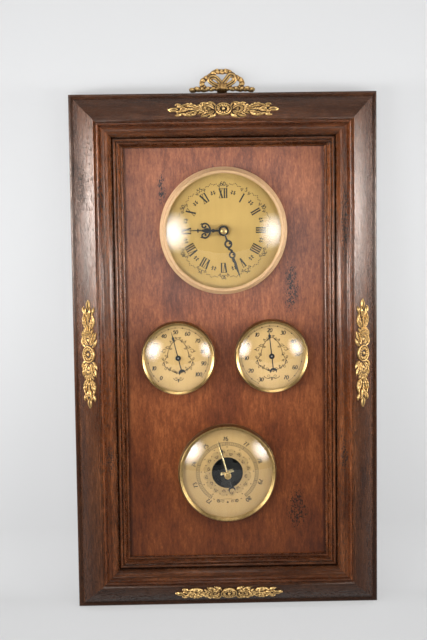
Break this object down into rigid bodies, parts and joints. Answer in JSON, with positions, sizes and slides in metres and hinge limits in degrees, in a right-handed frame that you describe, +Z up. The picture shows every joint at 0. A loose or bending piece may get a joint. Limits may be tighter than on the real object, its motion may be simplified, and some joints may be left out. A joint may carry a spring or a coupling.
{
  "type": "wall weather station",
  "caption": "Wall weather station: moulded wooden frame with cast mounts and a bow, holding a battery clock, a hygrometer, a thermometer and an aneroid barometer under domed glasses.",
  "frame": {"origin": "centre of the keyhole's round part in the hanger plate, in the wall plane", "axes": "+Z up, +Y into the wall, the front faces -Y, +X to the viewer's right"},
  "size_m": [0.306, 0.047, 0.5451],
  "materials": {
    "frame_wood": "satin polish, darkened, with worm marks",
    "board_veneer": "straight-grained veneer, satin polish",
    "cast_gilt": "cast, antique gold with dark recesses",
    "rose_bezel": "spun, matte pinkish gold",
    "brass_bezel": "spun and polished, lacquered",
    "dial_sheet": "satin gold with printed figures",
    "clear_glass": "clear, domed",
    "hand_black": "black lacquer",
    "turned_brass": "polished",
    "steel": "bright",
    "dark_steel": "blackened",
    "case_brass": "pressed, plain",
    "case_black": "black lacquer",
    "bimetal": "rolled strip",
    "movement_black": "moulded",
    "gear_white": "moulded",
    "battery_sleeve": "plain printed sleeve"
  },
  "bodies": {
    "frame": {"top_rail": "frame_wood", "bottom_rail": "frame_wood", "left_stile": "frame_wood", "right_stile": "frame_wood", "dial_board": "board_veneer", "crest_bow": "cast_gilt", "top_mount": "cast_gilt", "bottom_mount": "cast_gilt", "left_mount": "cast_gilt", "right_mount": "cast_gilt", "clock_bezel": "rose_bezel", "bush_nut": "rose_bezel", "hygro_bezel": "brass_bezel", "thermo_bezel": "brass_bezel", "baro_bezel": "brass_bezel", "clock_dial": "dial_sheet", "hygro_dial": "dial_sheet", "thermo_dial": "dial_sheet", "baro_dial": "dial_sheet", "clock_glass": "clear_glass", "hygro_glass": "clear_glass", "thermo_glass": "clear_glass", "baro_glass": "clear_glass", "hanger_plate": "turned_brass", "back_screws": "turned_brass", "case_screws": "turned_brass", "board_nails": "steel", "hygro_bridge": "steel", "thermo_bridge": "steel", "baro_capsule": "dark_steel", "baro_mainspring": "dark_steel", "baro_lever": "dark_steel", "baro_bridge": "dark_steel", "clock_tray": "case_brass", "hygro_case": "case_brass", "thermo_case": "case_brass", "baro_case": "case_black", "hygro_coil": "bimetal", "thermo_coil": "bimetal", "movement_base": "movement_black", "movement_cover": "movement_black", "battery": "battery_sleeve"},
    "minute": {"minute_arbor": "steel", "minute_hand": "hand_black", "hand_nut": "turned_brass"},
    "motion": {"motion_wheel": "gear_white", "setting_knob": "movement_black"},
    "hour": {"hour_wheel": "gear_white", "hour_hand": "hand_black"},
    "hygro_needle": {"hygro_arbor": "steel", "hygro_pointer": "hand_black"},
    "thermo_needle": {"thermo_arbor": "steel", "thermo_pointer": "hand_black"},
    "baro_needle": {"baro_arbor": "steel", "baro_pointer": "hand_black"},
    "rocker": {"baro_rocker": "turned_brass"},
    "set_hand": {"baro_set_hand": "turned_brass", "baro_set_knob": "turned_brass"},
    "adjuster": {"baro_adjust_screw": "steel"}
  },
  "joints": [
    {"name": "minute_spin", "type": "hinge", "parent": "frame", "child": "minute", "pos_m": [-0.001, -0.028, -0.102], "axis": [0, 1, 0], "continuous": true},
    {"name": "motion_spin", "type": "hinge", "parent": "frame", "child": "motion", "pos_m": [0.0086, -0.008, -0.102], "axis": [0, 1, 0], "continuous": true},
    {"name": "hour_spin", "type": "hinge", "parent": "frame", "child": "hour", "pos_m": [-0.001, -0.028, -0.102], "axis": [0, 1, 0], "continuous": true},
    {"name": "hygro_turn", "type": "hinge", "parent": "frame", "child": "hygro_needle", "pos_m": [-0.048, -0.028, -0.2295], "axis": [0, 1, 0], "range_deg": [-125.3, 143.5], "stiffness_Nm_per_rad": 0.0005},
    {"name": "thermo_turn", "type": "hinge", "parent": "frame", "child": "thermo_needle", "pos_m": [0.046, -0.028, -0.229], "axis": [0, 1, 0], "range_deg": [-147.5, 152.5], "stiffness_Nm_per_rad": 0.0005},
    {"name": "baro_turn", "type": "hinge", "parent": "frame", "child": "baro_needle", "pos_m": [0, -0.028, -0.3475], "axis": [0, 1, 0], "range_deg": [-132.5, 157.1], "stiffness_Nm_per_rad": 0.0005},
    {"name": "rocker_turn", "type": "hinge", "parent": "frame", "child": "rocker", "pos_m": [0.027, -0.0134, -0.3475], "axis": [0, 0, 1], "range_deg": [-13.3, 15.75]},
    {"name": "set_turn", "type": "hinge", "parent": "frame", "child": "set_hand", "pos_m": [0, -0.028, -0.3475], "axis": [0, 1, 0], "continuous": true},
    {"name": "adjust_turn", "type": "hinge", "parent": "frame", "child": "adjuster", "pos_m": [-0.035, -0.006, -0.3495], "axis": [0, 1, 0], "range_deg": [-180, 180]}
  ],
  "couplings": [
    {"joint": "motion_spin", "follows": "minute_spin", "ratio": -0.33333},
    {"joint": "hour_spin", "follows": "minute_spin", "ratio": 0.083333},
    {"joint": "rocker_turn", "follows": "baro_turn", "ratio": 0.1}
  ]
}
